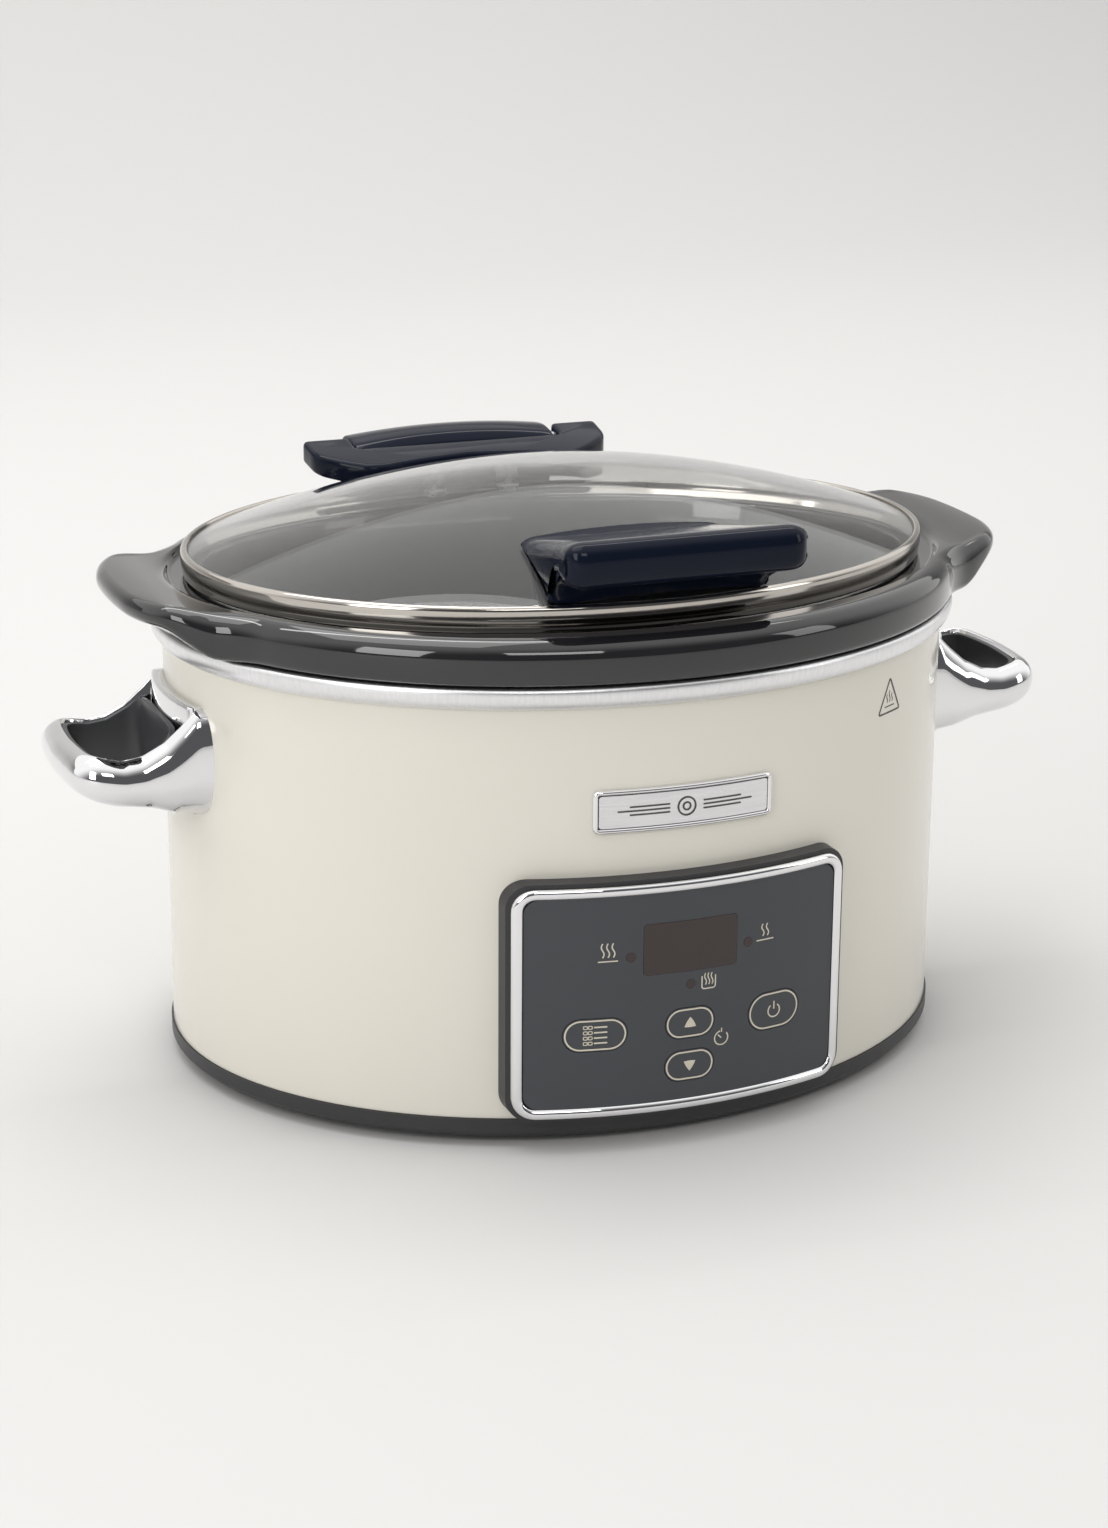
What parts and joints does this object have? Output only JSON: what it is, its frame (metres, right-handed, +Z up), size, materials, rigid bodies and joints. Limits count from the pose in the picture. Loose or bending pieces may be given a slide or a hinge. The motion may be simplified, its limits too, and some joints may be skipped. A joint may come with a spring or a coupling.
{
  "type": "slow cooker",
  "caption": "Oval slow cooker with a painted steel body, control panel, lift-out glazed crock and a hinged glass lid.",
  "frame": {"origin": "on the resting surface, under the middle of the oval body", "axes": "+X along the long side of the oval, -Y towards the control panel, +Z up"},
  "size_m": [0.432, 0.2948, 0.244],
  "materials": {
    "cream_paint": "gloss",
    "spun_aluminium": "satin",
    "dark_base": "satin",
    "foot_rubber": "matte",
    "black_glaze": "gloss",
    "clear_glass": "polished",
    "stainless_rim": "polished",
    "navy_plastic": "gloss",
    "bright_chrome": "mirror",
    "dark_lining": "satin",
    "graphite_face": "satin",
    "smoked_window": "gloss",
    "zinc_steel": "satin",
    "galvanised_sheet": "satin",
    "circuit_board": "satin",
    "heater_wrap": "woven",
    "component_black": "satin",
    "wire_sleeve": "satin",
    "silver_badge": "satin",
    "clear_silicone": "soft"
  },
  "bodies": {
    "base": {"badge_frame": "bright_chrome", "badge_plate": "silver_badge", "badge_studs": "zinc_steel", "band_screw": "zinc_steel", "band_spring": "zinc_steel", "base_tray": "dark_base", "board_screws": "zinc_steel", "bolt_nut": "zinc_steel", "centre_bolt": "zinc_steel", "control_board": "circuit_board", "cord_gland": "dark_base", "display_module": "component_black", "display_window": "smoked_window", "down_switch": "component_black", "filter_capacitor": "component_black", "foot_back_left": "foot_rubber", "foot_back_right": "foot_rubber", "foot_front_left": "foot_rubber", "foot_front_right": "foot_rubber", "gland_nut": "dark_base", "handle_insert_left": "dark_lining", "handle_insert_right": "dark_lining", "handle_left": "bright_chrome", "handle_right": "bright_chrome", "handle_screws": "zinc_steel", "heat_shield": "galvanised_sheet", "heater_band": "heater_wrap", "heating_well": "spun_aluminium", "high_lens": "smoked_window", "low_lens": "smoked_window", "menu_switch": "component_black", "outer_shell": "cream_paint", "panel_bezel": "bright_chrome", "panel_face": "graphite_face", "panel_housing": "dark_base", "panel_screws": "zinc_steel", "power_board": "circuit_board", "power_relay": "component_black", "power_switch": "component_black", "sensor_spring": "zinc_steel", "supply_leads": "wire_sleeve", "temperature_sensor": "zinc_steel", "terminal_block": "component_black", "thermal_fuse": "zinc_steel", "up_switch": "component_black", "warm_lens": "smoked_window"},
    "crock": {"crock": "black_glaze"},
    "hinge_clip": {"hinge_clip": "navy_plastic", "hinge_pin": "zinc_steel"},
    "lid": {"lid_glass": "clear_glass", "lid_rim": "stainless_rim", "front_handle": "navy_plastic", "hinge_plate": "navy_plastic", "lid_screws": "zinc_steel", "lid_washers": "clear_silicone"},
    "menu_key": {"menu_key": "graphite_face"},
    "up_key": {"up_key": "graphite_face"},
    "down_key": {"down_key": "graphite_face"},
    "power_key": {"power_key": "graphite_face"}
  },
  "joints": [
    {"name": "crock_lift", "type": "slide", "parent": "base", "child": "crock", "axis": [0, 0, 1], "range_m": [0, 0.2]},
    {"name": "lid_lift", "type": "slide", "parent": "crock", "child": "hinge_clip", "axis": [0, 0, 1], "range_m": [0, 0.06]},
    {"name": "lid_hinge", "type": "hinge", "parent": "hinge_clip", "child": "lid", "pos_m": [0, 0.127, 0.2255], "axis": [-1, 0, 0], "range_deg": [0, 95]},
    {"name": "menu_press", "type": "slide", "parent": "base", "child": "menu_key", "axis": [0, 1, 0], "range_m": [0, 0.0005], "stiffness_N_per_m": 1200},
    {"name": "up_press", "type": "slide", "parent": "base", "child": "up_key", "axis": [0, 1, 0], "range_m": [0, 0.0005], "stiffness_N_per_m": 1200},
    {"name": "down_press", "type": "slide", "parent": "base", "child": "down_key", "axis": [0, 1, 0], "range_m": [0, 0.0005], "stiffness_N_per_m": 1200},
    {"name": "power_press", "type": "slide", "parent": "base", "child": "power_key", "axis": [0, 1, 0], "range_m": [0, 0.0005], "stiffness_N_per_m": 1200}
  ]
}
